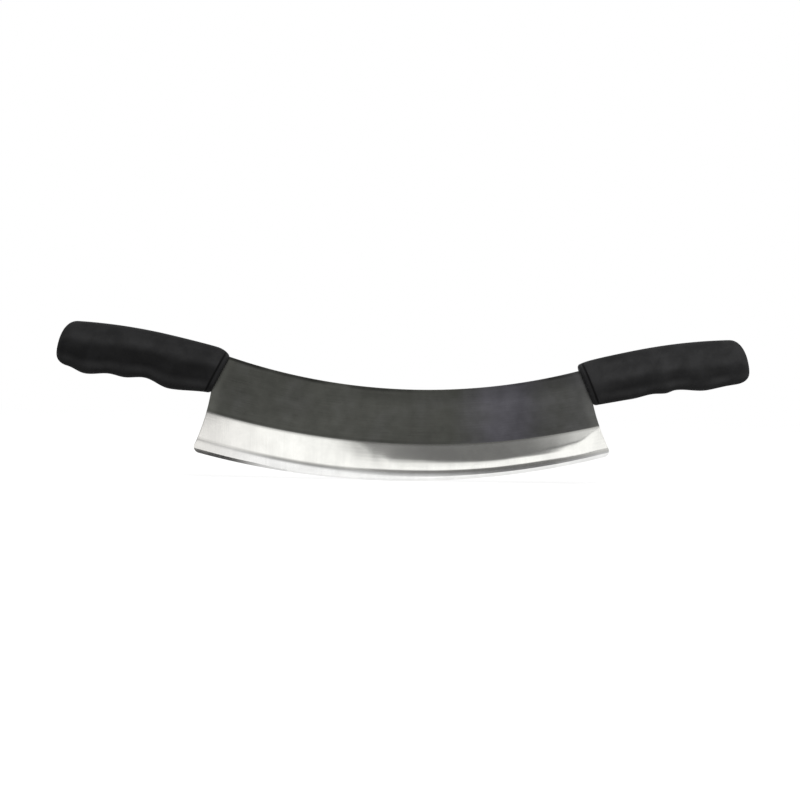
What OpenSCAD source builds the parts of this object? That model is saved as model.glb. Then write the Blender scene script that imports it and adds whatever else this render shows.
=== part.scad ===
// Two-handled curved chopping knife, standing on its cutting edge.
// X runs along the knife, Y through the blade's thickness, Z up.
// The origin is under the middle of the knife, at the lowest point of the edge.

/* [Blade] */
// Straight distance between the lower front corners of the two handles
handle_spacing = 281.6; // [250:0.2:320]
// Thickness of the blade plate
plate_thickness = 3; // [2.4:0.1:4]
// Radius of the curved cutting edge
edge_radius = 594; // [540:1:680]
// How far right of the middle the edge has its lowest point
edge_shift = -5; // [-10:1:10]
// Height of the hollowed back above the edge, at its lowest point
back_height = 67.4; // [60:0.2:80]
// Radius of the hollowed back
back_radius = 450; // [420:1:500]
// How far right of the middle the back has its lowest point
back_shift = 10; // [-12:1:12]
// Radius of the hollow curve at each end of the blade
end_curve_radius = 150; // [110:1:220]
// Rounding of the blade's two lower corners
corner_radius = 4.5; // [2:0.5:7]

/* [Grind] */
// Height of the hollow-ground band above the edge, at its lowest point
grind_height = 27.2; // [24:0.2:32]
// Radius of the line where the ground band starts
grind_radius = 573; // [540:1:620]
// How far right of the middle that line has its lowest point
grind_shift = 10; // [-12:1:12]
// Radius of the wheel that ground the band hollow
wheel_radius = 250; // [200:10:400]
// Height of the second, narrower bevel at its lowest point
strip_height = 6; // [4.5:0.5:8]
// Radius of the line where the second bevel starts
strip_radius = 561; // [545:1:590]
// How far right of the middle that line has its lowest point
strip_shift = 7; // [0:1:10]
// Thickness of the steel where the second bevel starts
strip_thickness = 1.6; // [1.5:0.1:2]
// Slope of the second bevel on each side, in degrees
strip_slope = 3.4; // [2.6:0.1:4.2]
// Thickness left at the very edge
edge_thickness = 0.1; // [0.06:0.02:0.3]
// Slope of the sharpened edge on each side, in degrees
edge_slope = 16; // [12:1:22]

/* [Tangs] */
// Thickness of the plate inside the handles, which leaves a shoulder against each collar
tang_thickness = 2.4; // [1.8:0.1:3]
// Length of each tang inside its handle
tang_length = 96; // [70:1:100]
// Height of a tang at the handle's front
tang_root = 20; // [15:0.5:22]
// Height of a tang at its rounded tip
tang_tip = 12; // [9:0.5:15]
// Diameter of the holes that lock a tang in the moulded core
lock_hole = 6; // [4:0.5:7]
// Number of those holes in each tang
lock_holes = 3; // [2:1:4]
// How deep the thinned end of the blade sits in the handle's front
seat_depth = 2.5; // [1.5:0.1:3]

/* [Handles] */
// Slope at which a handle rises away from the blade, in degrees
handle_rise = 10.25; // [5:0.25:16]
// Length of a handle from its lower front corner to its end
handle_length = 117.2; // [112:0.2:135]
// Height of a handle at the highest point of its arched top
crest_height = 36; // [33:0.1:40]
// Distance of that point from the handle's front
crest_place = 52; // [35:1:65]
// Radius of the arched top
crest_radius = 400; // [330:1:700]
// Width of a handle at its front
front_width = 21; // [17:0.5:24]
// Width of a handle at the palm swell
palm_width = 26; // [22:0.5:30]
// Distance of the palm swell from the front
palm_place = 62; // [50:1:75]
// Width of a handle where its end begins to round off
butt_width = 25; // [22:0.5:30]
// Length over which a handle's end rounds off
butt_round = 12; // [8:0.2:15]
// Height of the point of the rounded end above the handle's base line
butt_point = 9; // [8:0.5:18]
// Squareness of the rounded end: 2 is an ellipse
butt_power = 2.5; // [2:0.1:3]
// Depth of the finger flutes in the lower half of the handle's sides
flute_depth = 1.5; // [0.5:0.1:2]
// Length of the hard collar that shows in front of the soft grip
collar_length = 3.7; // [3:0.1:6]
// Rounding of the collar's front edge
collar_round = 2.4; // [0.8:0.1:2.8]
// Thickness of the soft grip over the hard core
grip_wall = 2.5; // [1.5:0.1:3]
// Depth of the grooves in the core that hold the soft grip
lock_groove = 0.9; // [0.5:0.1:1.5]
// Depth of the fine groove where the soft grip meets the collar
seam_groove = 0.35; // [0.2:0.05:0.6]

/* [Left handle] */
// How far the handle's front leans back towards the blade, in degrees
left_lean = 17; // [0:0.5:20]
// How far the arched top, run on to the handle's front, stands above the blade's back there
left_step = 4.4; // [3:0.1:8]
// How far the upper front corner droops below the arched top
left_droop = 4; // [0:0.5:5]
// Slope of the blade's end where it leaves the handle, from the vertical
left_end_slope = 9; // [5:0.5:18]

/* [Right handle] */
// How far the handle's front leans back towards the blade, in degrees
right_lean = 13; // [0:0.5:20]
// How far the arched top, run on to the handle's front, stands above the blade's back there
right_step = 5.5; // [3:0.1:8]
// How far the upper front corner droops below the arched top
right_droop = 1; // [0:0.5:5]
// Slope of the blade's end where it leaves the handle, from the vertical
right_end_slope = 14.5; // [5:0.5:18]

/* [Hidden] */

LEFT = -1;
RIGHT = 1;

// Underside of each handle: the ridges and finger hollows in turn, after the front corner.
// Each point is its distance from the front and its height above the base line.
left_underside = [[0, -0.4], [31, -3.3], [50, 1], [66, -1.7], [75, -1.2], [94, -4.6], [108, -1.6]];
right_underside = [[0, 0.4], [28, 0.7], [44, 1.9], [54, 0.9], [61, 2.1], [84, -1.6], [101, -0.8]];

// Fineness of the drawn curves
arc_steps = 256;
ring_points = 40;
ring_pitch = 3;
butt_rings = 6;
section_power = 2.5;

// Lean of a handle's front dies out over this distance from the collar
lean_fade = 35;
// The droop of its upper corner dies out over this distance from the front
droop_run = 12;
// Overlap that lets two drawn shapes of one piece fuse
fuse = 10;
// Size of a shape that only has to reach past the plate
beyond = 60;

half_plate = plate_thickness / 2;
edge_centre = [edge_shift, edge_radius];
grind_centre = [grind_shift, grind_height + grind_radius];
strip_centre = [strip_shift, strip_height + strip_radius];
back_centre = [back_shift, back_height + back_radius];
grind_width = grind_height - strip_height;
tang_middle = crest_height / 2 - 2;
round_start = handle_length - butt_round;

function lean(side) = side == LEFT ? left_lean : right_lean;
function step_up(side) = side == LEFT ? left_step : right_step;
function front_droop(side) = side == LEFT ? left_droop : right_droop;
function end_slope(side) = side == LEFT ? left_end_slope : right_end_slope;
function underside(side) = side == LEFT ? left_underside : right_underside;

function unit(v) = v / norm(v);
function smooth(u) = u <= 0 ? 0 : u >= 1 ? 1 : u * u * (3 - 2 * u);

// Height at x of a curve that runs level through each [place, height] point
function along(points, x, i = 0) =
    i >= len(points) - 1 ? points[len(points) - 1][1]
    : x <= points[i + 1][0]
        ? points[i][1] + (points[i + 1][1] - points[i][1])
            * smooth((x - points[i][0]) / (points[i + 1][0] - points[i][0]))
    : along(points, x, i + 1);

// Height of the blade's back at a place along the knife
function back_at(x) = back_centre[1] - sqrt(back_radius * back_radius - pow(x - back_shift, 2));

// The arched top of a handle, and the same with its drooping front corner
function arch_at(s) = crest_height - pow(s - crest_place, 2) / (2 * crest_radius);
function top_at(side, s) = arch_at(s) - front_droop(side) * pow(max(0, 1 - s / droop_run), 2);
function bottom_at(side, s) = along(underside(side), s);
function half_width_at(s) =
    along([[0, front_width], [palm_place, palm_width], [round_start, butt_width]], s) / 2;

// The flutes are deepest at the hollows, which are every second point of the underside
function flute_at(side, s) = flute_depth * along([
    for (i = [0:len(underside(side)) - 1])
        [underside(side)[i][0], i > 0 && i % 2 == 0 ? 1 : 0]
], s);

// Where the arched top meets a handle's leaning front, from its lower front corner
function front_top(side) = [-arch_at(0) * tan(lean(side)), arch_at(0)];
function turned(p) = [
    p[0] * cos(handle_rise) - p[1] * sin(handle_rise),
    p[0] * sin(handle_rise) + p[1] * cos(handle_rise)
];

// Lower front corner of a handle, with its distance from the middle counted outwards
function handle_seat(side) =
    let (corner = turned(front_top(side)), out = handle_spacing / 2)
    [out, back_at(side * (out + corner[0])) + step_up(side) - corner[1]];

// Centre of the hollow curve at one end of the blade, which passes the handle's lower corner
function end_centre(side) =
    handle_seat(side) + end_curve_radius * [cos(end_slope(side)), sin(end_slope(side))];

// The lower of the two points where two circles meet
function circles_meet(a, ra, b, rb) =
    let (
        d = norm(b - a),
        along_ab = (ra * ra - rb * rb + d * d) / (2 * d),
        off = sqrt(ra * ra - along_ab * along_ab),
        foot = a + along_ab * unit(b - a),
        across = off * [-unit(b - a)[1], unit(b - a)[0]]
    )
    (foot + across)[1] < (foot - across)[1] ? foot + across : foot - across;

// Places of a handle's rings, from the grip's front to where its end rounds off
grip_rings = ceil((round_start - collar_length) / ring_pitch);
function grip_places() =
    let (first = collar_length + seam_groove)
    concat(
        [collar_length],
        [for (i = [0:grip_rings]) first + (round_start - first) * i / grip_rings]
    );

// Places of the core's rings: each bay between the locking grooves has the same shares
lock_bays = 3;
bay_shares = [0, 0.15, 0.3, 0.45, 0.5, 0.65, 0.7, 0.85];
function bay_length() = (round_start - collar_length) / lock_bays;
function core_places() = concat(
    [for (b = [0:lock_bays - 1]) for (share = bay_shares)
        collar_length + (b + share) * bay_length()],
    [round_start]
);
function groove_at(s) =
    let (share = (s - collar_length) / bay_length(), part = share - floor(share))
    part > 0.48 && part < 0.67 ? lock_groove : 0;

// One ring of a handle: s from the front, set in from the outside, and shrunk towards the end
function ring(side, s, inset, shrink = 1) =
    let (
        top = top_at(side, s) - inset,
        bottom = bottom_at(side, s) + inset,
        middle = (top + bottom) / 2 * shrink + butt_point * (1 - shrink),
        tall = (top - bottom) / 2 * shrink,
        wide = (half_width_at(s) - inset) * shrink,
        flute = flute_at(side, s) * shrink,
        tilt = tan(lean(side)) * (1 - smooth((s - collar_length) / lean_fade))
    )
    [for (i = [0:ring_points - 1])
        let (
            a = 360 * i / ring_points,
            up = sign(sin(a)) * pow(abs(sin(a)), 2 / section_power),
            out = sign(cos(a)) * pow(abs(cos(a)), 2 / section_power),
            cut = sin(a) < 0 ? flute * pow(abs(sin(2 * a)), 1.5) : 0,
            z = middle + tall * up
        )
        [s - z * tilt, out * wide - sign(cos(a)) * cut, z]
    ];

// Rings of a rounded end, with the skin set in, short of its point
function end_rings(side, inset) = [
    for (j = [1:butt_rings - 1])
        let (a = 90 * j / butt_rings, power = 2 / butt_power)
        ring(side, round_start + (butt_round - inset) * pow(sin(a), power), inset, pow(cos(a), power))
];

// A skin through the rings from ring "from" onwards, wound so that it faces out or in
function skin(from, rings, inwards = false) = [
    for (r = [0:rings - 2]) for (i = [0:ring_points - 1])
        let (
            a = from + r * ring_points + i,
            b = from + r * ring_points + (i + 1) % ring_points,
            c = b + ring_points,
            d = a + ring_points
        )
        each inwards ? [[a, b, c], [a, c, d]] : [[a, c, b], [a, d, c]]
];

// A fan that closes the ring starting at point "from" to a single point
function fan(from, tip, inwards = false) = [
    for (i = [0:ring_points - 1])
        let (a = from + i, b = from + (i + 1) % ring_points)
        inwards ? [a, b, tip] : [a, tip, b]
];

function flat(lists) = [for (l = lists) each l];

// Places the children in a handle's own frame: outwards from its lower front corner
module at_handle(side) {
    seat = handle_seat(side);
    rotate([0, 0, side == LEFT ? 180 : 0])
        translate([seat[0], 0, seat[1]])
            rotate([0, -handle_rise, 0])
                children();
}

// The same for a drawn outline
module outline_at_handle(side) {
    mirror([side == LEFT ? 1 : 0, 0])
        translate(handle_seat(side))
            rotate(handle_rise)
                children();
}

// Stands a drawn outline up in the blade's plane, with the given thickness
module upright(thickness) {
    rotate([90, 0, 0])
        linear_extrude(thickness, center = true)
            children();
}

// A thick disc whose rim is bevelled alike on both sides, which bounds one ground face
module bevelled_disc(centre, radius, half, slope, rim_half) {
    full = plate_thickness;
    rim = radius + (half - rim_half) / tan(slope);
    shoulder = radius - (full - half) / tan(slope);
    translate([centre[0], 0, centre[1]])
        rotate([90, 0, 0])
            rotate_extrude($fn = arc_steps)
                polygon([
                    [0, -full], [shoulder, -full], [rim, -rim_half],
                    [rim, rim_half], [shoulder, full], [0, full]
                ]);
}

// A disc with a hollow run around it on each side, as the grinding wheel leaves it
module hollow_disc() {
    start = [grind_radius, half_plate];
    finish = [grind_radius + grind_width, strip_thickness / 2];
    chord = finish - start;
    lift = sqrt(wheel_radius * wheel_radius - chord * chord / 4);
    wheel = (start + finish) / 2 + lift * unit([-chord[1], chord[0]]);
    translate([grind_centre[0], 0, grind_centre[1]])
        rotate([90, 0, 0])
            rotate_extrude($fn = arc_steps)
                difference() {
                    translate([0, -plate_thickness])
                        square([grind_radius + beyond, 2 * plate_thickness]);
                    translate([wheel[0], wheel[1]]) circle(wheel_radius, $fn = arc_steps);
                    translate([wheel[0], -wheel[1]]) circle(wheel_radius, $fn = arc_steps);
                }
}

// The waste outside the rounding of one lower corner of the blade
module corner_waste(side) {
    end = end_centre(side);
    edge = [side * edge_centre[0], edge_centre[1]];
    hub = circles_meet(edge, edge_radius - corner_radius, end, end_curve_radius + corner_radius);
    corner = circles_meet(edge, edge_radius, end, end_curve_radius);
    to_edge = unit(hub - edge);
    to_end = unit(end - hub);
    reach = 1.5 * corner_radius;
    mirror([side == LEFT ? 1 : 0, 0])
        difference() {
            polygon([
                hub, hub + reach * to_edge,
                corner + corner_radius * unit(corner - hub), hub + reach * to_end
            ]);
            translate(hub) circle(corner_radius, $fn = arc_steps);
        }
}

// The blade's outline without its tangs, cut off at the given depth inside the handles' fronts
module blade_outline(depth) {
    difference() {
        translate([-handle_spacing / 2 - beyond, 0])
            square([handle_spacing + 2 * beyond, back_height + beyond]);
        translate(back_centre) circle(back_radius, $fn = arc_steps);
        for (side = [LEFT, RIGHT]) {
            mirror([side == LEFT ? 1 : 0, 0])
                translate(end_centre(side))
                    circle(end_curve_radius, $fn = arc_steps);
            corner_waste(side);
            outline_at_handle(side) {
                slant = tan(lean(side));
                polygon([
                    [depth, 0], [depth - beyond * slant, beyond],
                    [3 * beyond, beyond], [3 * beyond, 0]
                ]);
            }
        }
    }
}

// The outline of one tang, in its handle's frame, with its locking holes
module tang_outline(side) {
    tip = tang_length - tang_tip / 2;
    difference() {
        union() {
            polygon([
                [-fuse, tang_middle - tang_root / 2], [tip, tang_middle - tang_tip / 2],
                [tip, tang_middle + tang_tip / 2], [-fuse, tang_middle + tang_root / 2]
            ]);
            translate([tip, tang_middle]) circle(tang_tip / 2, $fn = 48);
        }
        for (i = [1:lock_holes])
            translate([tip * (i - 0.2) / lock_holes, tang_middle])
                circle(lock_hole / 2, $fn = 48);
    }
}

// The thinner plate that runs into the handles, tangs included
module held_outline() {
    blade_outline(seat_depth);
    for (side = [LEFT, RIGHT])
        outline_at_handle(side) tang_outline(side);
}

module blade() {
    color("dimgray")
        intersection() {
            union() {
                upright(plate_thickness) blade_outline(0);
                upright(tang_thickness) held_outline();
            }
            hollow_disc();
            bevelled_disc(strip_centre, strip_radius, strip_thickness / 2, strip_slope, 0.02);
            bevelled_disc(edge_centre, edge_radius, edge_thickness / 2, edge_slope, edge_thickness / 2);
        }
}

// Hard core moulded round a tang, with the collar at its front
module handle_core(side) {
    collar = concat(
        [for (a = [0, 30, 60, 90]) ring(side, collar_round * (1 - cos(a)), collar_round * (1 - sin(a)))],
        [ring(side, collar_length - seam_groove, 0), ring(side, collar_length, seam_groove)]
    );
    shaft = [for (s = core_places()) ring(side, s, grip_wall + groove_at(s))];
    rings = concat(collar, shaft, end_rings(side, grip_wall));
    front = [-tang_middle * tan(lean(side)), 0, tang_middle];
    tip = [handle_length - grip_wall, 0, butt_point];
    points = concat(flat(rings), [front, tip]);
    last = len(points) - 1;
    color([0.13, 0.13, 0.14])
        difference() {
            at_handle(side)
                polyhedron(points, concat(
                    fan(0, last - 1, true),
                    skin(0, len(rings)),
                    fan(last - 1 - ring_points, last)
                ));
            upright(tang_thickness) held_outline();
        }
}

// Soft grip moulded over the core, open at its front
module grip(side) {
    outer = concat(
        [for (s = grip_places()) ring(side, s, s == collar_length ? seam_groove : 0)],
        end_rings(side, 0)
    );
    inner = concat(
        [for (s = core_places()) ring(side, s, grip_wall + groove_at(s))],
        end_rings(side, grip_wall)
    );
    outer_tip = [handle_length, 0, butt_point];
    inner_tip = [handle_length - grip_wall, 0, butt_point];
    points = concat(flat(outer), flat(inner), [outer_tip, inner_tip]);
    inner_from = len(outer) * ring_points;
    last = len(points) - 1;
    mouth = [for (i = [0:ring_points - 1])
        let (a = i, b = (i + 1) % ring_points, c = inner_from + b, d = inner_from + a)
        each [[a, b, c], [a, c, d]]
    ];
    color([0.09, 0.09, 0.09])
        at_handle(side)
            polyhedron(points, concat(
                mouth,
                skin(0, len(outer)),
                fan(inner_from - ring_points, last - 1),
                skin(inner_from, len(inner), true),
                fan(last - 1 - ring_points, last, true)
            ));
}

module left_handle_core() { handle_core(LEFT); }
module right_handle_core() { handle_core(RIGHT); }
module left_grip() { grip(LEFT); }
module right_grip() { grip(RIGHT); }

blade();
left_handle_core();
left_grip();
right_handle_core();
right_grip();
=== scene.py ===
import math

import bpy
import numpy as np
from mathutils import Matrix, Vector
from mathutils.geometry import tessellate_polygon


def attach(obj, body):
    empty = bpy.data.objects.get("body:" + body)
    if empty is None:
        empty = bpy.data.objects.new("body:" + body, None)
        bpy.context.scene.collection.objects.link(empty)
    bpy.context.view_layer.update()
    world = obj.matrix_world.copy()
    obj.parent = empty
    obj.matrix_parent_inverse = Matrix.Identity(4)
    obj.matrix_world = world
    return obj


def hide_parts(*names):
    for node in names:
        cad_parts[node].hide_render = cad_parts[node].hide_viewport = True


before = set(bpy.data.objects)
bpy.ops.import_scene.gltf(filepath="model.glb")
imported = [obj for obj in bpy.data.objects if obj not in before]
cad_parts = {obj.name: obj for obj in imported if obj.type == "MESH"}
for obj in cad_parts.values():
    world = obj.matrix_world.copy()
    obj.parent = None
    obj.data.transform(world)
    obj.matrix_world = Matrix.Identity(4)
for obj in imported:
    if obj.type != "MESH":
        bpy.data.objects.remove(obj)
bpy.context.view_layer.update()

# The knife's two sides, and a millimetre in metres
LEFT = -1
RIGHT = 1
MM = 0.001

# Sizes of the knife in millimetres, the same as in the part's source
handle_spacing = 281.6
plate_thickness = 3.0
edge_radius = 594.0
edge_shift = -5.0
back_height = 67.4
back_radius = 450.0
back_shift = 10.0
end_curve_radius = 150.0
corner_radius = 4.5

grind_height = 27.2
grind_radius = 573.0
grind_shift = 10.0
strip_height = 6.0
strip_radius = 561.0
strip_shift = 7.0
strip_slope = 3.4
edge_thickness = 0.1
edge_slope = 16.0

tang_thickness = 2.4
tang_length = 96.0
tang_root = 20.0
tang_tip = 12.0
lock_hole = 6.0
lock_holes = 3
seat_depth = 2.5
fuse = 10.0

handle_rise = 10.25
handle_length = 117.2
crest_height = 36.0
crest_place = 52.0
crest_radius = 400.0
front_width = 21.0
palm_width = 26.0
palm_place = 62.0
butt_width = 25.0
butt_round = 12.0
butt_point = 9.0
butt_power = 2.5
flute_depth = 1.5
collar_length = 3.7
collar_round = 2.4
grip_wall = 2.5
lock_groove = 0.9
lock_bays = 3
seam_groove = 0.35
section_power = 2.5
lean_fade = 35.0
droop_run = 12.0

lean = {LEFT: 17.0, RIGHT: 13.0}
front_droop = {LEFT: 4.0, RIGHT: 1.0}
step_up = {LEFT: 4.4, RIGHT: 5.5}
end_slope = {LEFT: 9.0, RIGHT: 14.5}
underside = {
    LEFT: [(0, -0.4), (31, -3.3), (50, 1), (66, -1.7), (75, -1.2), (94, -4.6), (108, -1.6)],
    RIGHT: [(0, 0.4), (28, 0.7), (44, 1.9), (54, 0.9), (61, 2.1), (84, -1.6), (101, -0.8)],
}

edge_centre = np.array([edge_shift, edge_radius])
grind_centre = np.array([grind_shift, grind_height + grind_radius])
strip_centre = np.array([strip_shift, strip_height + strip_radius])
back_centre = np.array([back_shift, back_height + back_radius])
tang_middle = crest_height / 2 - 2
round_start = handle_length - butt_round


def smooth(u):
    u = np.clip(u, 0, 1)
    return u * u * (3 - 2 * u)


# Height at x of a curve that runs level through each (place, height) point
def along(points, x):
    x = np.asarray(x, float)
    height = np.full(x.shape, float(points[0][1]))
    for (x0, z0), (x1, z1) in zip(points, points[1:]):
        height = height + (z1 - z0) * smooth((x - x0) / (x1 - x0))
    return height


def back_at(x):
    return back_centre[1] - math.sqrt(back_radius ** 2 - (x - back_shift) ** 2)


# The arched top of a handle, and the same with its drooping front corner
def arch_at(s):
    return crest_height - (s - crest_place) ** 2 / (2 * crest_radius)


def top_at(side, s):
    return arch_at(s) - front_droop[side] * max(0, 1 - s / droop_run) ** 2


def half_width_at(s):
    return along([(0, front_width), (palm_place, palm_width), (round_start, butt_width)], s) / 2


# The flutes are deepest at the hollows, which are every second point of the underside
def flute_at(side, s):
    marks = [(p[0], 1.0 if i > 0 and i % 2 == 0 else 0.0) for i, p in enumerate(underside[side])]
    return flute_depth * along(marks, s)


def turned(p):
    c = math.cos(math.radians(handle_rise))
    d = math.sin(math.radians(handle_rise))
    return np.array([p[0] * c - p[1] * d, p[0] * d + p[1] * c])


# Lower front corner of a handle, with its distance from the middle counted outwards
def handle_seat(side):
    corner = turned((-arch_at(0) * math.tan(math.radians(lean[side])), arch_at(0)))
    out = handle_spacing / 2
    return np.array([out, back_at(side * (out + corner[0])) + step_up[side] - corner[1]])


def end_centre(side):
    slope = math.radians(end_slope[side])
    return handle_seat(side) + end_curve_radius * np.array([math.cos(slope), math.sin(slope)])


# Places points of a handle's own frame in the knife's frame
def at_handle(side, points):
    seat = handle_seat(side)
    c = math.cos(math.radians(handle_rise))
    d = math.sin(math.radians(handle_rise))
    out = seat[0] + points[:, 0] * c - points[:, 2] * d
    up = seat[1] + points[:, 0] * d + points[:, 2] * c
    return np.column_stack([side * out, side * points[:, 1], up])


# Fineness of the drawn handles
RING_POINTS = 176
GRIP_PITCH = 0.9
SHAFT_RINGS = 100
END_RINGS = 26
SEAM_RINGS = 6
COLLAR_RINGS = 12
FACE_RINGS = 3
FACE_PITCH = 0.5

ring_turn = np.arange(RING_POINTS) * 2 * math.pi / RING_POINTS


# A sine or cosine swollen from a circle's towards a rounded square's
def swollen(share):
    return np.sign(share) * np.abs(share) ** (2 / section_power)


# Power of a sine that keeps the flutes between a ring's widest place and its underside
flute_power = 1.5


# One ring of a handle: s from the front, set in from the outside, and shrunk towards the end
def ring(side, s, inset=0.0, shrink=1.0):
    top = top_at(side, s) - inset
    bottom = float(along(underside[side], s)) + inset
    middle = (top + bottom) / 2 * shrink + butt_point * (1 - shrink)
    tall = (top - bottom) / 2 * shrink
    wide = (float(half_width_at(s)) - inset) * shrink
    flute = float(flute_at(side, s)) * shrink
    tilt = math.tan(math.radians(lean[side])) * (1 - float(smooth((s - collar_length) / lean_fade)))
    cut = np.where(np.sin(ring_turn) < 0, flute * np.abs(np.sin(2 * ring_turn)) ** flute_power, 0)
    y = wide * swollen(np.cos(ring_turn)) - np.sign(np.cos(ring_turn)) * cut
    z = middle + tall * swollen(np.sin(ring_turn))
    return np.column_stack([s - z * tilt, y, z])


# Painted light and shade on the moulded black down a grip's side, from its underside at -1 to its top at 1
painted_light_by_height = {
    LEFT: [(-0.92, 1.1), (-0.7, 1.7), (-0.38, 0.62), (0.0, 0.6), (0.36, 1.35), (0.72, 0.95), (0.97, 0.65)],
    RIGHT: [(-0.92, 0.9), (-0.72, 1.4), (-0.42, 0.75), (-0.24, 0.8), (0.1, 1.35), (0.5, 1.05), (0.97, 0.65)],
}
# How strongly that painted light and shade shows along the grip, which is most in the finger hollows
painted_light_by_place = {
    LEFT: [(0, 0.7), (14, 1.0), (34, 0.9), (50, 1.1), (66, 0.9), (94, 0.9), (110, 0.6)],
    RIGHT: [
        (0, 0.4), (22, 1.5), (36, 1.1), (48, 0.6), (60, 1.4), (72, 0.6), (82, 0.6), (94, 1.4), (106, 0.5),
    ],
}
# Painted shade and dirt in the seam groove between the collar and the grip
SHADE_AND_DIRT_IN_SEAM = 0.3


# Painted light and shade for each point of one ring
def painted_light_on_ring(side, s):
    by_height = along(painted_light_by_height[side], swollen(np.sin(ring_turn)))
    return 1 + (by_height - 1) * float(along(painted_light_by_place[side], s))


def end_rings(side, inset):
    rings = []
    for j in range(1, END_RINGS):
        a = math.pi / 2 * j / END_RINGS
        power = 2 / butt_power
        s = round_start + (butt_round - inset) * math.sin(a) ** power
        rings.append(ring(side, s, inset, math.cos(a) ** power))
    return rings


# The core's shaft has equal bays with one locking groove each, between these shares of the bay
groove_start = 0.45
groove_end = 0.7
groove_slope = 0.05


def core_groove_at(s):
    bay = (round_start - collar_length) / lock_bays
    share = ((s - collar_length) / bay) % 1
    inside = smooth((share - groove_start) / groove_slope) * smooth((groove_end - share) / groove_slope)
    return lock_groove * float(inside)


def core_shaft(side):
    places = np.linspace(collar_length, round_start, SHAFT_RINGS)
    return [ring(side, s, grip_wall + core_groove_at(s)) for s in places] + end_rings(side, grip_wall)


# Quads between neighbouring closed rings, facing outwards or inwards
def skin(first, rings, inwards=False):
    faces = []
    for r in range(rings - 1):
        for i in range(RING_POINTS):
            a = first + r * RING_POINTS + i
            b = first + r * RING_POINTS + (i + 1) % RING_POINTS
            quad = (a, b, b + RING_POINTS, a + RING_POINTS)
            faces.append(quad[::-1] if inwards else quad)
    return faces


def fan(first, tip, inwards=False):
    faces = []
    for i in range(RING_POINTS):
        tri = (first + i, first + (i + 1) % RING_POINTS, tip)
        faces.append(tri[::-1] if inwards else tri)
    return faces


def new_mesh(name, points, faces):
    mesh = bpy.data.meshes.new(name)
    mesh.from_pydata((np.asarray(points) * MM).tolist(), [], faces)
    mesh.polygons.foreach_set("use_smooth", [True] * len(mesh.polygons))
    mesh.update()
    return mesh


def set_values(mesh, name, values):
    mesh.attributes.new(name, "FLOAT", "POINT").data.foreach_set("value", values)


def new_piece(name, mesh, node, materials):
    piece = bpy.data.objects.new(name, mesh)
    bpy.context.scene.collection.objects.link(piece)
    for material in materials:
        mesh.materials.append(material)
    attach(piece, "root")
    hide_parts(node)
    return piece


# Soft grip: outer skin with a rounded lip at its front, and the cavity that the core fills
def grip_mesh(name, side):
    outer = []
    for turn in np.linspace(0, math.pi / 2, SEAM_RINGS):
        s = collar_length + seam_groove * (1 - math.cos(turn))
        outer.append(ring(side, s, seam_groove * (1 - math.sin(turn))))
    lip = len(outer)
    first = collar_length + seam_groove
    count = int((round_start - first) / GRIP_PITCH)
    outer += [ring(side, s) for s in np.linspace(first, round_start, count)[1:]]
    outer += end_rings(side, 0)
    inner = core_shaft(side)
    split = len(outer) * RING_POINTS
    total = split + len(inner) * RING_POINTS
    tips = np.array([[handle_length, 0, butt_point], [handle_length - grip_wall, 0, butt_point]])
    points = at_handle(side, np.vstack(outer + inner + [tips]))
    places = np.clip([float(np.mean(one[:, 0])) for one in outer], 0, round_start)
    light = np.ones(len(points))
    # The grip's points hold their painted light and shade
    light[:split] = np.concatenate([painted_light_on_ring(side, s) for s in places])
    # Painted shade and dirt on the grip's lip at the seam
    light[:lip * RING_POINTS] = SHADE_AND_DIRT_IN_SEAM
    faces = skin(0, len(outer))
    faces += fan(split - RING_POINTS, total)
    faces += skin(split, len(inner), inwards=True)
    faces += fan(total - RING_POINTS, total + 1, inwards=True)
    for i in range(RING_POINTS):
        a = i
        b = (i + 1) % RING_POINTS
        faces.append((b, a, split + a, split + b))
    mesh = new_mesh(name, points, faces)
    set_values(mesh, "light", light)
    return mesh


# Hard core: rounded collar that shows, and the shaft under the soft grip
def core_mesh(name, side):
    rings = [ring(side, 0, collar_round + FACE_PITCH * i) for i in range(FACE_RINGS, 0, -1)]
    for turn in np.linspace(0, math.pi / 2, COLLAR_RINGS):
        s = collar_round * (1 - math.cos(turn))
        rings.append(ring(side, s, collar_round * (1 - math.sin(turn))))
    seam = len(rings)
    for turn in np.linspace(0, math.pi / 2, SEAM_RINGS):
        s = collar_length - seam_groove * (1 - math.sin(turn))
        rings.append(ring(side, s, seam_groove * (1 - math.cos(turn))))
    rings += core_shaft(side)
    last = len(rings) * RING_POINTS
    front = [-tang_middle * math.tan(math.radians(lean[side])), 0, tang_middle]
    tips = np.array([front, [handle_length - grip_wall, 0, butt_point]])
    points = at_handle(side, np.vstack(rings + [tips]))
    faces = fan(0, last, inwards=True)
    faces += skin(0, len(rings))
    faces += fan(last - RING_POINTS, last + 1)
    light = np.ones(len(points))
    # Painted shade and dirt on the core's seam, and on its shaft under the grip
    light[seam * RING_POINTS:] = SHADE_AND_DIRT_IN_SEAM
    mesh = new_mesh(name, points, faces)
    set_values(mesh, "light", light)
    return mesh


# Fineness of the drawn blade
BLADE_COLUMNS = 396
BODY_ROWS = 28
BAND_ROWS = 56
STRIP_ROWS = 24
BAND_STEPS = 400
END_POINTS = 1500
CORNER_POINTS = 400
TANG_TIP_POINTS = 25
HOLE_POINTS = 32

# Rounding of the plate's arrises, and how much of its half thickness that takes where the plate is thin
ARRIS = 0.28
ARRIS_SHARE = 0.4
# How far in from the plate's rim the rows and columns that draw this lie, and where the even columns start
RIM_STEPS = np.array([0, 0.02, 0.08, 0.17, ARRIS, 0.6])
RIM_WIDTH = 1.2
# About the height of the flats
FLAT_HEIGHT = 41

# Reach of the arcs either way, and the unit of the flow over the blade
REACH = 250
FLOW_UNIT = 100


# Lower arc of a circle as a height over x
def arc_at(centre, radius, x):
    return centre[1] - np.sqrt(radius ** 2 - (np.asarray(x, float) - centre[0]) ** 2)


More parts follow.
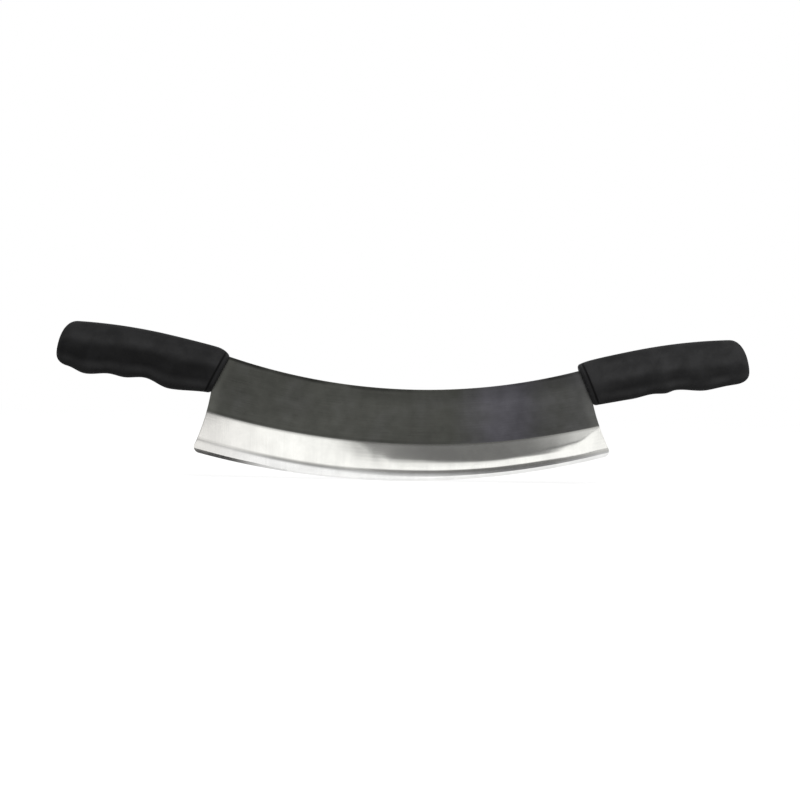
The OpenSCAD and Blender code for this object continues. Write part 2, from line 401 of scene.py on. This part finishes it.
# The lower of the two points where two circles meet
def circles_meet(a, ra, b, rb):
    d = float(np.linalg.norm(b - a))
    run = (ra * ra - rb * rb + d * d) / (2 * d)
    off = math.sqrt(ra * ra - run * run)
    ahead = (b - a) / d
    across = off * np.array([-ahead[1], ahead[0]])
    foot = a + run * ahead
    return min(foot + across, foot - across, key=lambda p: p[1])


# Outline of one end of the blade, from the back down to where its rounded corner meets the edge
def end_outline(side):
    seat = handle_seat(side)
    end = end_centre(side)
    edge = np.array([side * edge_centre[0], edge_centre[1]])
    hub = circles_meet(edge, edge_radius - corner_radius, end, end_curve_radius + corner_radius)
    to_end = (end - hub) / np.linalg.norm(end - hub)
    to_edge = (hub - edge) / np.linalg.norm(hub - edge)
    slant = turned((-math.tan(math.radians(lean[side])), 1))
    inset = turned((seat_depth, 0))
    top = handle_seat(side)[1] + crest_height
    low = hub[1] + corner_radius * to_end[1]
    heights = np.linspace(top, low, END_POINTS)
    bow = end[0] - np.sqrt(end_curve_radius ** 2 - (heights - end[1]) ** 2)
    straight = seat[0] + inset[0] + (heights - seat[1] - inset[1]) * slant[0] / slant[1]
    out = np.where(heights > seat[1], np.minimum(bow, straight), bow)
    start = math.atan2(to_end[1], to_end[0])
    finish = math.atan2(to_edge[1], to_edge[0])
    start = start - 2 * math.pi if start > finish + math.pi else start
    turn = np.linspace(start, finish, CORNER_POINTS)
    corner_out = hub[0] + corner_radius * np.cos(turn)
    corner_up = hub[1] + corner_radius * np.sin(turn)
    return np.concatenate([out, corner_out]), np.concatenate([heights, corner_up])


# Parts of the blade's side, from the back down to the edge
BODY = 0
BAND = 1
STRIP = 2
BEVEL = 3

# How far down the ground band it stays nearly flat before the wheel bites, over x
bite_place = [
    (-57, -0.5), (-37, -0.17), (-20, 0.17), (-4, 0.5), (12, 0.64), (32, 0.76),
    (60, 0.72), (92, 0.595), (104, 0.56), (114, 0.545), (128, 0.48), (150, -0.1),
]
# Share of the band over which the bite sets in, over x
bite_run = [(-60, 0.3), (-24, 0.55), (5, 0.85), (32, 0.7), (60, 0.42), (85, 0.27), (110, 0.36)]
# Drop in half thickness over the ground band, over x
band_drop = [(-150, 0.64), (-100, 0.76), (-60, 0.74), (0, 0.7)]
# Where on the band the steel starts to run level above the second bevel, and how nearly, over x
level_place = [(-60, 0.88), (20, 0.85)]
shoulder_ease = [(-150, 0.35), (-90, 0.75), (-20, 1.0)]
# Share of the second bevel that is still level there, over x
level_share = [(-40, 0.45), (40, 0.72), (100, 0.78)]
# Slope and least height of the sharpened edge, over x
bevel_slope = [(-150, 12.0), (-80, edge_slope)]
least_bevel = [(-150, 2.8), (-112, 2.4), (-85, 1.3), (-50, 0.6)]
# Slope above the bite as a share of the full one, which is steepest where it starts and eases further down
flat_share = 0.1
bite_start = 1.25
bite_fade = 0.55
# Run over which the band turns level, as a share of the band
level_run = 0.08
# Share of the second bevel's rest over which it rolls from level to its slope
roll_share = 0.9


# Each row is a part of the side and how far down that part it lies
def blade_rows():
    rows = [(BODY, step / FLAT_HEIGHT) for step in RIM_STEPS]
    rows += [(BODY, f) for f in np.linspace(0.04, 1, BODY_ROWS)]
    rows += [(BAND, f) for f in np.linspace(0, 1, BAND_ROWS + 1)[1:]]
    rows += [(STRIP, f) for f in np.linspace(0, 1, STRIP_ROWS + 1)[1:]]
    rows += [(BEVEL, f) for f in (0.4, 0.75, 0.92, 1)]
    return rows


def edge_slope_at(x):
    return np.tan(np.radians(along(bevel_slope, x)))


def bevel_width(x):
    shoulder = plate_thickness / 2 - along(band_drop, x)
    fall = arc_at(strip_centre, strip_radius, x) - arc_at(edge_centre, edge_radius, x)
    gentle = math.tan(math.radians(strip_slope))
    steep = edge_slope_at(x)
    left = shoulder - fall * gentle - edge_thickness / 2
    return np.maximum(left / (steep - gentle), along(least_bevel, x))


def row_height(part, f, x):
    edge = arc_at(edge_centre, edge_radius, x)
    lines = [
        arc_at(back_centre, back_radius, x),
        arc_at(grind_centre, grind_radius, x),
        arc_at(strip_centre, strip_radius, x),
        edge + bevel_width(x),
        edge,
    ]
    return lines[part] + (lines[part + 1] - lines[part]) * f


# Share of the ground band's drop that is reached at fraction f, for each x
def band_share(f, x):
    steps = np.linspace(0, 1, BAND_STEPS + 1)[None, :]
    bitten = smooth((steps - along(bite_place, x)[:, None]) / along(bite_run, x)[:, None] + 0.5)
    level = smooth((steps - along(level_place, x)[:, None]) / level_run)
    kept = 1 - level * along(shoulder_ease, x)[:, None]
    slope = (flat_share + (1 - flat_share) * bitten * (bite_start - bite_fade * steps)) * kept
    total = np.cumsum(slope, axis=1) - slope[:, :1]
    total = total / total[:, -1:]
    return total[:, int(round(f * BAND_STEPS))]


# The same down the second bevel, which starts level and rolls over to its own slope
def strip_share(f, x):
    start = along(level_share, x) * along(shoulder_ease, x)
    roll = roll_share * (1 - start)
    past = np.clip((f - start) / roll, 0, 1)
    reached = roll * past ** 2 / 2 + np.maximum(f - start - roll, 0)
    return reached / (1 - start - roll / 2)


def half_thickness(part, f, x):
    full = plate_thickness / 2 + 0 * x
    shoulder = full - along(band_drop, x)
    at_bevel = edge_thickness / 2 + bevel_width(x) * edge_slope_at(x)
    if part == BODY:
        return full
    if part == BAND:
        return full + (shoulder - full) * band_share(f, x)
    if part == STRIP:
        return shoulder + (at_bevel - shoulder) * strip_share(f, x)
    return at_bevel + (edge_thickness / 2 - at_bevel) * f


# Where a row meets the outline of one end
def row_end(side, outline, part, f):
    out, up = outline
    above = up - row_height(part, f, side * out)
    below = np.nonzero(above <= 1e-9)[0]
    k = max(int(below[0]), 1) if len(below) else len(out) - 1
    share = min(1.0, above[k - 1] / max(above[k - 1] - above[k], 1e-12))
    return side * (out[k - 1] + (out[k] - out[k - 1]) * share)


def blade_points():
    left, right = end_outline(LEFT), end_outline(RIGHT)
    shares = np.linspace(0, 1, BLADE_COLUMNS)
    points, from_end = [], []
    for part, f in blade_rows():
        x0 = row_end(LEFT, left, part, f)
        x1 = row_end(RIGHT, right, part, f)
        inner = x0 + RIM_WIDTH + (x1 - x0 - 2 * RIM_WIDTH) * shares
        x = np.concatenate([x0 + RIM_STEPS, inner, x1 - RIM_STEPS[::-1]])
        z = row_height(part, f, x)
        half = half_thickness(part, f, x)
        inset = np.minimum(np.minimum(x - x0, x1 - x), row_height(BODY, 0, x) - z)
        soft = np.minimum(ARRIS, ARRIS_SHARE * half)
        near = np.clip(soft - inset, 0, soft)
        half = half - soft + np.sqrt(soft ** 2 - near ** 2)
        points.append(np.column_stack([x, -half, z]))
        from_end.append(np.minimum(x - x0, x1 - x))
    return np.array(points), np.array(from_end)


# A tang with its locking holes, as a plate in its handle's frame. Each hole's points are turned a little
# further than the last hole's, so that no three points of different holes lie in line.
def tang_part(side):
    tip = tang_length - tang_tip / 2
    turn = np.linspace(-math.pi / 2, math.pi / 2, TANG_TIP_POINTS)
    outer = [(-fuse, tang_middle + tang_root / 2), (-fuse, tang_middle - tang_root / 2)]
    outer += [(tip + tang_tip / 2 * math.cos(t), tang_middle + tang_tip / 2 * math.sin(t)) for t in turn]
    loops = [outer]
    for i in range(1, lock_holes + 1):
        place = tip * (i - 0.2) / lock_holes
        round_turn = (np.arange(HOLE_POINTS) + i / (lock_holes + 1)) * 2 * math.pi / HOLE_POINTS
        loops.append([
            (place + lock_hole / 2 * math.cos(t), tang_middle + lock_hole / 2 * math.sin(t))
            for t in round_turn
        ])
    flat = [p for loop in loops for p in loop]
    count = len(flat)
    half = tang_thickness / 2
    points = [(p[0], -half, p[1]) for p in flat] + [(p[0], half, p[1]) for p in flat]
    faces = []
    for tri in tessellate_polygon([[Vector((p[0], p[1], 0)) for p in loop] for loop in loops]):
        a, b, c = (flat[i] for i in tri)
        area = (b[0] - a[0]) * (c[1] - a[1]) - (c[0] - a[0]) * (b[1] - a[1])
        front = tuple(tri) if area > 0 else tuple(tri)[::-1]
        faces.append(front)
        faces.append(tuple(i + count for i in front[::-1]))
    first = 0
    for number, loop in enumerate(loops):
        size = len(loop)
        for i in range(size):
            a, b = first + i, first + (i + 1) % size
            wall = (a, a + count, b + count, b)
            faces.append(wall if number == 0 else wall[::-1])
        first += size
    return at_handle(side, np.array(points, float)), faces


def blade_mesh(name):
    front, from_end = blade_points()
    rows, columns, _ = front.shape
    rear = front * np.array([1, -1, 1])
    points = np.vstack([front.reshape(-1, 3), rear.reshape(-1, 3)])
    half = rows * columns
    parts = [part for part, _ in blade_rows()]
    faces, slots = [], []
    for k in range(rows - 1):
        for i in range(columns - 1):
            a, b = k * columns + i, k * columns + i + 1
            c, d = b + columns, a + columns
            faces += [(a, d, c, b), (a + half, b + half, c + half, d + half)]
            slots += [parts[k + 1]] * 2
        for i in (0, columns - 1):
            a, d = k * columns + i, (k + 1) * columns + i
            wall = (a, a + half, d + half, d)
            faces.append(wall if i == 0 else wall[::-1])
            slots.append(min(parts[k + 1], BAND))
    for i in range(columns - 1):
        faces.append((i, i + 1, i + 1 + half, i + half))
        slots.append(BODY)
        a, b = half - columns + i, half - columns + i + 1
        faces.append((a, a + half, b + half, b))
        slots.append(BEVEL)
    for side in (LEFT, RIGHT):
        more, walls = tang_part(side)
        faces += [tuple(i + len(points) for i in wall) for wall in walls]
        slots += [BODY] * len(walls)
        points = np.vstack([points, more])
    mesh = new_mesh(name, points, faces)
    mesh.polygons.foreach_set("material_index", slots)
    mark_creases(mesh, parts, columns, half)
    lay_flow(mesh, points)
    reach = np.zeros(len(points))
    reach[:2 * half] = np.tile(from_end.ravel(), 2)
    x = np.clip(points[:, 0], -REACH, REACH)
    z = points[:, 2]
    set_values(mesh, "from_end", reach)
    set_values(mesh, "from_back", arc_at(back_centre, back_radius, x) - z)
    set_values(mesh, "above_crease", z - arc_at(strip_centre, strip_radius, x))
    return mesh


# Sharp edges where one ground face meets the next
def mark_creases(mesh, parts, columns, half):
    rows = len(parts)
    crease = [k for k in range(rows) if k == rows - 1 or parts[k] != parts[k + 1]]
    pairs = np.empty(len(mesh.edges) * 2, int)
    mesh.edges.foreach_get("vertices", pairs)
    pairs = pairs.reshape(-1, 2)
    row = (pairs % half) // columns
    on_side = (pairs < 2 * half).all(axis=1) & ((pairs < half).all(axis=1) | (pairs >= half).all(axis=1))
    sharp = on_side & (row[:, 0] == row[:, 1]) & np.isin(row[:, 0], crease)
    tang = (pairs >= 2 * half).all(axis=1)
    flag = mesh.attributes.new("sharp_edge", "BOOLEAN", "EDGE")
    flag.data.foreach_set("value", sharp | tang)


# A flow that runs along the grind line and down from it
def lay_flow(mesh, points):
    corner = np.empty(len(mesh.loops), int)
    mesh.loops.foreach_get("vertex_index", corner)
    x = points[:, 0]
    line = arc_at(grind_centre, grind_radius, np.clip(x, -REACH, REACH))
    flow = np.column_stack([x, line - points[:, 2]])[corner] / FLOW_UNIT
    mesh.uv_layers.new(name="flow").data.foreach_set("uv", flow.ravel())


# Colours, as shares of red, green, blue and opacity
FLAT_GREY = (0.122, 0.124, 0.111, 1)
FLAT_VIOLET = (0.13, 0.127, 0.143, 1)
FLAT_PALE = (0.4, 0.4, 0.39, 1)
BAND_STEEL = (0.95, 0.947, 0.905, 1)
STRIP_STEEL = (0.93, 0.93, 0.92, 1)
EDGE_STEEL = (0.85, 0.85, 0.84, 1)
# Warmer, darker steel, a painted dimmer reflection at the left of the ground faces
WARM_DIM_REFLECTION_STEEL = (0.78, 0.764, 0.732, 1)
BAND_TOP_AT_LEFT = (0.11, 0.11, 0.103, 1)
BAND_TOP_AT_RIGHT = (0.355, 0.352, 0.326, 1)
CORE_BLACK = (0.018, 0.018, 0.0185, 1)
GRIP_BLACK = (0.021, 0.021, 0.0215, 1)
WHITE = (1, 1, 1, 1)

# Most of a noise texture's values lie between these two
NOISE_LOW = 0.3
NOISE_HIGH = 0.7


def start_material(name):
    material = bpy.data.materials.new(name)
    material.use_nodes = True
    tree = material.node_tree
    return material, tree, tree.nodes["Principled BSDF"]


def add(tree, kind, **settings):
    node = tree.nodes.new(kind)
    for key, value in settings.items():
        setattr(node, key, value)
    return node


# A material for the stage, with nothing in it yet but its output
def start_stage_material(name):
    material = bpy.data.materials.new(name)
    material.use_nodes = True
    tree = material.node_tree
    tree.nodes.clear()
    return material, tree, add(tree, "ShaderNodeOutputMaterial").inputs["Surface"]


# Gives a socket either a plain value or the result of another node
def feed(tree, value, socket):
    if isinstance(value, bpy.types.NodeSocket):
        tree.links.new(value, socket)
    else:
        socket.default_value = value


def where(tree, scale=(1, 1, 1), flow=False):
    place = add(tree, "ShaderNodeTexCoord")
    mapping = add(tree, "ShaderNodeMapping")
    mapping.inputs["Scale"].default_value = scale
    tree.links.new(place.outputs["UV" if flow else "Object"], mapping.inputs["Vector"])
    return mapping.outputs["Vector"]


def noise(tree, vector, scale, detail, roughness):
    node = add(tree, "ShaderNodeTexNoise")
    tree.links.new(vector, node.inputs["Vector"])
    node.inputs["Scale"].default_value = scale
    node.inputs["Detail"].default_value = detail
    node.inputs["Roughness"].default_value = roughness
    return node.outputs["Fac"]


def remap(tree, value, low, high, new_low, new_high, smoothly=False):
    node = add(tree, "ShaderNodeMapRange")
    node.interpolation_type = "SMOOTHSTEP" if smoothly else "LINEAR"
    feed(tree, value, node.inputs["Value"])
    for socket, given in (("From Min", low), ("From Max", high), ("To Min", new_low), ("To Max", new_high)):
        feed(tree, given, node.inputs[socket])
    return node.outputs["Result"]


def spread(tree, texture, low, high):
    return remap(tree, texture, NOISE_LOW, NOISE_HIGH, low, high)


def blend_colours(tree, share, first, second):
    node = add(tree, "ShaderNodeMix", data_type="RGBA")
    feed(tree, share, node.inputs["Factor"])
    first_colour, second_colour = [s for s in node.inputs if s.type == "RGBA"]
    feed(tree, first, first_colour)
    feed(tree, second, second_colour)
    return next(s for s in node.outputs if s.type == "RGBA")


def maths(tree, operation, *values):
    node = add(tree, "ShaderNodeMath", operation=operation)
    for value, socket in zip(values, node.inputs):
        feed(tree, value, socket)
    return node.outputs["Value"]


def product(tree, first, *others):
    for other in others:
        first = maths(tree, "MULTIPLY", first, other)
    return first


def bump(tree, height, distance, strength=1.0, under=None):
    node = add(tree, "ShaderNodeBump")
    node.inputs["Distance"].default_value = distance
    node.inputs["Strength"].default_value = strength
    tree.links.new(height, node.inputs["Height"])
    if under is not None:
        tree.links.new(under, node.inputs["Normal"])
    return node.outputs["Normal"]


def part_of(tree, vector, axis):
    split = add(tree, "ShaderNodeSeparateXYZ")
    tree.links.new(vector, split.inputs["Vector"])
    return split.outputs[axis]


# A value that the mesh holds for each point
def held(tree, name):
    return add(tree, "ShaderNodeAttribute", attribute_name=name).outputs["Fac"]


# A value that changes smoothly with a distance in millimetres that the mesh holds
def by_distance(tree, name, low, high, first, second):
    return remap(tree, held(tree, name), low, high, first, second, smoothly=True)


# A value that changes smoothly between two places along the knife, in metres
def over_x(tree, low, high, first, second):
    return remap(tree, part_of(tree, where(tree), "X"), low, high, first, second, smoothly=True)


# A value that changes smoothly between two distances below the grind line, in the flow's units
def below_grind(tree, low, high, first, second):
    down = part_of(tree, where(tree, flow=True), "Y")
    return remap(tree, down, low, high, first, second, smoothly=True)


def scaled(tree, colour, amount):
    node = add(tree, "ShaderNodeVectorMath", operation="SCALE")
    tree.links.new(colour, node.inputs[0])
    feed(tree, amount, node.inputs["Scale"])
    return node.outputs["Vector"]


# Dark satin flats with fine lengthwise brushing and a faint mottling. Their grey turns violet over a stretch
# at the right. They are lighter at the ends, darker in patches along the back, darker below it towards the
# right, and wash out to a paler tone in the last millimetre above the grind line.
def flat_steel():
    material, tree, shader = start_material("flat_steel")
    place = where(tree)
    drift = maths(tree, "MULTIPLY_ADD", noise(tree, place, 45, 3, 0.55), 0.8, -0.4)
    stretch = product(tree, over_x(tree, 0.03, 0.075, 0, 1), over_x(tree, 0.084, 0.108, 1, 0.3))
    violet = maths(tree, "ADD", stretch, drift)
    violet.node.use_clamp = True
    colour = blend_colours(tree, violet, FLAT_GREY, FLAT_VIOLET)

    brushed = noise(tree, where(tree, (3, 190, 1), flow=True), 1, 4, 0.6)
    streaks = spread(tree, brushed, 0.92, 1.08)
    mottling = spread(tree, noise(tree, place, 90, 3, 0.6), 0.87, 1.13)
    patches = remap(tree, noise(tree, place, 38, 3, 0.5), 0.4, 0.64, 0.58, 0.95, smoothly=True)
    patchy_back = product(tree, patches, over_x(tree, -0.07, -0.045, 0.7, 1.0))
    at_ends = by_distance(tree, "from_end", 2.0, 9.0, 1.4, 1.0)
    at_back = by_distance(tree, "from_back", 1.4, 3.2, patchy_back, 1.0)
    under_back = by_distance(tree, "from_back", 4.0, 16.0, over_x(tree, -0.06, -0.015, 1.0, 0.72), 1.0)
    near_grind = below_grind(tree, -0.03, -0.014, 1.0, over_x(tree, -0.02, 0.06, 0.86, 0.98))
    past_left = over_x(tree, -0.1, -0.02, 0.95, 1.09)
    at_violet = product(tree, over_x(tree, 0.04, 0.07, 1.0, 1.14), over_x(tree, 0.074, 0.09, 1.0, 0.78))
    at_right = over_x(tree, 0.086, 0.1, 1.0, 0.93)
    shade = product(
        tree, streaks, mottling, at_ends, at_back, under_back, near_grind, past_left, at_violet, at_right)
    paler = below_grind(tree, -0.01, 0.001, 0, over_x(tree, -0.06, 0.0, 0.5, 0.08))
    tone = blend_colours(tree, paler, scaled(tree, colour, shade), FLAT_PALE)

    tree.links.new(tone, shader.inputs["Base Color"])
    shader.inputs["Metallic"].default_value = 1.0
    tree.links.new(spread(tree, brushed, 0.27, 0.35), shader.inputs["Roughness"])
    tree.links.new(bump(tree, brushed, 0.00001, 0.4), shader.inputs["Normal"])
    return material


# Bright ground steel with faint smudges, and with fine scratches and streaks that run down across it. It has
# a painted warmer, dimmer reflection at the left, is darker just below the grind line, and has a painted
# dark reflection in a line along the crease.
def ground_steel(name, colour, smoothest, roughest, anisotropy):
    material, tree, shader = start_material(name)
    # Painted warmer, dimmer reflection towards the left
    colour = blend_colours(tree, over_x(tree, -0.16, -0.08, 0, 1), WARM_DIM_REFLECTION_STEEL, colour)
    band_top = blend_colours(tree, over_x(tree, -0.06, 0.0, 0, 1), BAND_TOP_AT_LEFT, BAND_TOP_AT_RIGHT)
    colour = blend_colours(tree, below_grind(tree, -0.014, 0.024, 0, 1), band_top, colour)

    scratched = noise(tree, where(tree, (420, 5, 1), flow=True), 1, 3, 0.6)
    streaks = spread(tree, noise(tree, where(tree, (150, 3, 1), flow=True), 1, 3, 0.55), 0.95, 1.0)
    smudges = remap(tree, noise(tree, where(tree), 70, 3, 0.6), 0.35, 0.65, 0.95, 1.05)
    # A painted dark reflection in a line along the crease, strongest at the left
    above = by_distance(tree, "above_crease", 0.2, 2.4, 1, 0)
    below = by_distance(tree, "above_crease", -2.2, -0.2, 0, 1)
    crease_reflection_depth = product(tree, over_x(tree, -0.14, -0.085, 0.16, 0.6), over_x(tree, -0.06, -0.01, 1, 0.3), -1.0)
    crease = maths(tree, "MULTIPLY_ADD", product(tree, above, below), crease_reflection_depth, 1.0)
    tone = scaled(tree, colour, product(tree, streaks, smudges, crease))

    tree.links.new(tone, shader.inputs["Base Color"])
    shader.inputs["Metallic"].default_value = 1.0
    shader.inputs["Anisotropic"].default_value = anisotropy
    tree.links.new(spread(tree, scratched, smoothest, roughest), shader.inputs["Roughness"])
    tangent = add(tree, "ShaderNodeTangent", direction_type="UV_MAP", uv_map="flow")
    tree.links.new(tangent.outputs["Tangent"], shader.inputs["Tangent"])
    tree.links.new(bump(tree, scratched, 0.000002, 0.3), shader.inputs["Normal"])
    return material


# Moulded black, in a tone with painted light and shade that the mesh holds for each point, with a fine matt
# grain and the mould's parting line along the top and the underside. Painted light makes it a little lighter
# towards the right.
def moulded_black(name, colour, roughness, gloss, grain, grain_scale):
    material, tree, shader = start_material(name)
    place = where(tree)
    cloud = noise(tree, place, 70, 4, 0.6)
    clouded = remap(tree, cloud, 0.35, 0.65, 0, 1, smoothly=True)
    lighter = tuple(1.4 * c for c in colour[:3]) + (1,)
    # Painted light and shade held by the mesh, and painted light that grows towards the right
    shade = product(tree, held(tree, "light"), over_x(tree, -0.1, 0.1, 1.0, 1.27))
    tone = scaled(tree, blend_colours(tree, clouded, colour, lighter), shade)
    rough = spread(tree, cloud, roughness - 0.05, roughness + 0.05)
    grained = noise(tree, place, grain_scale, 2, 0.5)
    off_middle = maths(tree, "ABSOLUTE", part_of(tree, place, "Y"))
    parting = bump(tree, remap(tree, off_middle, 0.00008, 0.00022, 1, 0, smoothly=True), 0.00006)

    tree.links.new(tone, shader.inputs["Base Color"])
    tree.links.new(rough, shader.inputs["Roughness"])
    shader.inputs["Specular IOR Level"].default_value = gloss
    tree.links.new(bump(tree, grained, grain, 0.6, parting), shader.inputs["Normal"])
    return material


def build_knife():
    steels = [
        flat_steel(),
        ground_steel("hollow_ground_steel", BAND_STEEL, 0.12, 0.15, 0.75),
        ground_steel("second_bevel_steel", STRIP_STEEL, 0.14, 0.17, 0.6),
        ground_steel("sharpened_steel", EDGE_STEEL, 0.16, 0.2, 0.4),
    ]
    core_black = moulded_black("moulded_core", CORE_BLACK, 0.6, 0.05, 0.00002, 1500)
    grip_black = moulded_black("soft_grip", GRIP_BLACK, 0.75, 0.04, 0.00005, 2600)
    new_piece("ground_blade", blade_mesh("ground_blade"), "blade", steels)
    for side, word in ((LEFT, "left"), (RIGHT, "right")):
        core = word + "_core_moulding"
        grip = word + "_soft_grip"
        new_piece(core, core_mesh(core, side), word + "_handle_core", [core_black])
        new_piece(grip, grip_mesh(grip, side), word + "_grip", [grip_black])


def plane(name, corners, material):
    mesh = bpy.data.meshes.new(name)
    mesh.from_pydata(corners, [], [tuple(range(len(corners)))])
    piece = bpy.data.objects.new(name, mesh)
    bpy.context.scene.collection.objects.link(piece)
    mesh.materials.append(material)
    return piece


# 1 for whatever looks straight at a surface or sees it in another, and 0 for the light that falls on it
def seen_by_eye(tree):
    path = add(tree, "ShaderNodeLightPath")
    both = maths(tree, "MAXIMUM", path.outputs["Is Camera Ray"], path.outputs["Is Glossy Ray"])
    return maths(tree, "MAXIMUM", both, path.outputs["Is Transmission Ray"])


# A plain pale floor, with a glow that whitens it to the eye but throws no light on the knife
def build_floor():
    size = 6.0
    level = -0.0002
    glow_near = 0.73
    glow_far = 0.84
    mirrored_share = 0.93
    darkest = 0.365
    lightest = 0.385
    material, tree, surface = start_stage_material("pale_floor")
    matt = add(tree, "ShaderNodeBsdfDiffuse")
    cloud = noise(tree, where(tree), 5, 2, 0.5)
    tree.links.new(spread(tree, cloud, darkest, lightest), matt.inputs["Color"])
    glow = add(tree, "ShaderNodeEmission")
    away = add(tree, "ShaderNodeVectorMath", operation="LENGTH")
    tree.links.new(where(tree), away.inputs[0])
    even = remap(tree, away.outputs["Value"], 0.35, 1.6, glow_near, glow_far, smoothly=True)
    mirrored = add(tree, "ShaderNodeLightPath").outputs["Is Glossy Ray"]
    even = product(tree, even, remap(tree, mirrored, 0, 1, 1, mirrored_share), seen_by_eye(tree))
    tree.links.new(even, glow.inputs["Strength"])
    both = add(tree, "ShaderNodeAddShader")
    tree.links.new(matt.outputs["BSDF"], both.inputs[0])
    tree.links.new(glow.outputs["Emission"], both.inputs[1])
    tree.links.new(both.outputs["Shader"], surface)
    corners = [(-size, -size, level), (size, -size, level), (size, size, level), (-size, size, level)]
    plane("floor", corners, material)


# White to the eye, and dimmer as a light
def build_world():
    dim = 0.42
    world = bpy.data.worlds.new("pale_room")
    bpy.context.scene.world = world
    world.use_nodes = True
    tree = world.node_tree
    background = tree.nodes["Background"]
    background.inputs["Color"].default_value = WHITE
    tree.links.new(remap(tree, seen_by_eye(tree), 0, 1, dim, 1.0), background.inputs["Strength"])
    world.cycles.sampling_method = "NONE"


# A board that shows only as a reflection
def board(name, corners, tone):
    material, tree, surface = start_stage_material(name)
    glow = add(tree, "ShaderNodeEmission")
    tree.links.new(tone(tree), glow.inputs["Strength"])
    tree.links.new(glow.outputs["Emission"], surface)
    piece = plane(name, corners, material)
    piece.visible_camera = False
    piece.visible_diffuse = False
    piece.visible_shadow = False
    piece.visible_transmission = False
    piece.visible_volume_scatter = False


# Where the upright board stands, how high the others lie, and tones that the boards share
BOARD_Y = -0.28
BOARD_Z = 0.0004
DARK_AT_LEFT = 0.26
DARK = 0.15
NEAR_WHITE = 0.95


def dark_tone(tree):
    return over_x(tree, -0.03, 0.02, DARK_AT_LEFT, DARK)


# Dark at its foot, except at the far right, and paler further up
def front_tone(tree):
    height = part_of(tree, where(tree), "Z")
    dark = dark_tone(tree)
    dark_or_right = maths(tree, "MAXIMUM", dark, over_x(tree, 0.121, 0.17, DARK, 0.8))
    foot = remap(tree, height, 0.012, 0.02, dark, dark_or_right)
    pale = product(tree, over_x(tree, -0.12, 0.02, 0.43, 0.76), over_x(tree, 0.1, 0.17, 1.0, 0.7))
    return remap(tree, height, 0.014, 0.07, foot, pale, smoothly=True)


# Dark towards the upright board, and as pale as the floor next to the knife
def low_tone(tree):
    back = part_of(tree, where(tree), "Y")
    return remap(tree, back, -0.142, -0.067, dark_tone(tree), NEAR_WHITE, smoothly=True)


def far_right_tone(tree):
    return over_x(tree, 0.13, 0.2, 0.1, 0.34)


def edge_tone(tree):
    return over_x(tree, -0.135, -0.095, 0.07, 0.8)


# Boards in front of the knife, whose reflections give its ground steel its dark and bright stretches
def build_boards():
    y, z = BOARD_Y, BOARD_Z
    board("front_board", [
        (-0.6, y, 0.035), (-0.1, y, 0.02), (-0.055, y, 0.0), (0.15, y, 0.0),
        (0.2, y, 0.03), (0.6, y, 0.035), (0.6, y, 0.42), (-0.6, y, 0.42),
    ], front_tone)
    board("low_board", [
        (-0.05, y, z), (-0.035, -0.17, z), (0.0, -0.055, z), (0.06, -0.055, z),
        (0.085, -0.085, z), (0.115, -0.11, z), (0.13, -0.135, z), (0.15, y, z),
    ], low_tone)
    board("far_right_board", [
        (0.12, -0.24, z), (0.145, -0.25, z), (0.175, -0.33, z), (0.21, -0.45, z),
        (0.26, -0.65, z), (0.35, -1.25, z), (0.11, -1.25, z),
    ], far_right_tone)
    board("edge_board", [
        (-0.2, -0.055, z), (-0.2, -0.012, z), (-0.13, -0.006, z), (-0.085, -0.006, z),
        (-0.085, -0.02, z), (-0.13, -0.04, z),
    ], edge_tone)


# A wide soft lamp above the knife, facing it from the given place
def build_lamp(name, x, y, power):
    height = 1.15
    lamp = bpy.data.lights.new(name, "AREA")
    lamp.shape = "RECTANGLE"
    lamp.size = 1.4
    lamp.size_y = 0.9
    lamp.energy = power
    holder = bpy.data.objects.new(name, lamp)
    holder.location = (x, y, height)
    holder.rotation_euler = Vector((x, y, height)).to_track_quat("Z", "Y").to_euler()
    bpy.context.scene.collection.objects.link(holder)


# Level with the knife and square to it, rolled by the degree that the photo is
def build_camera():
    distance = 1.4
    centre_x = -0.00162
    centre_z = 0.05952
    frame_width = 0.5887
    roll = math.radians(1.15)
    lens = bpy.data.cameras.new("camera")
    lens.sensor_width = 36.0
    lens.lens = lens.sensor_width * distance / frame_width
    lens.clip_start = 0.01
    lens.clip_end = 50
    camera = bpy.data.objects.new("camera", lens)
    right = (math.cos(roll), 0, math.sin(roll))
    up = (-math.sin(roll), 0, math.cos(roll))
    back = (0, -1, 0)
    camera.matrix_world = Matrix((
        (right[0], up[0], back[0], centre_x),
        (right[1], up[1], back[1], -distance),
        (right[2], up[2], back[2], centre_z),
        (0, 0, 0, 1),
    ))
    bpy.context.scene.collection.objects.link(camera)
    bpy.context.scene.camera = camera


build_camera()
build_knife()
build_floor()
build_world()
build_boards()
build_lamp("front_softbox", 0.38, -0.75, 13.2)
build_lamp("rear_softbox", -0.2, 0.9, 5.0)

bpy.context.scene.view_settings.view_transform = "Standard"
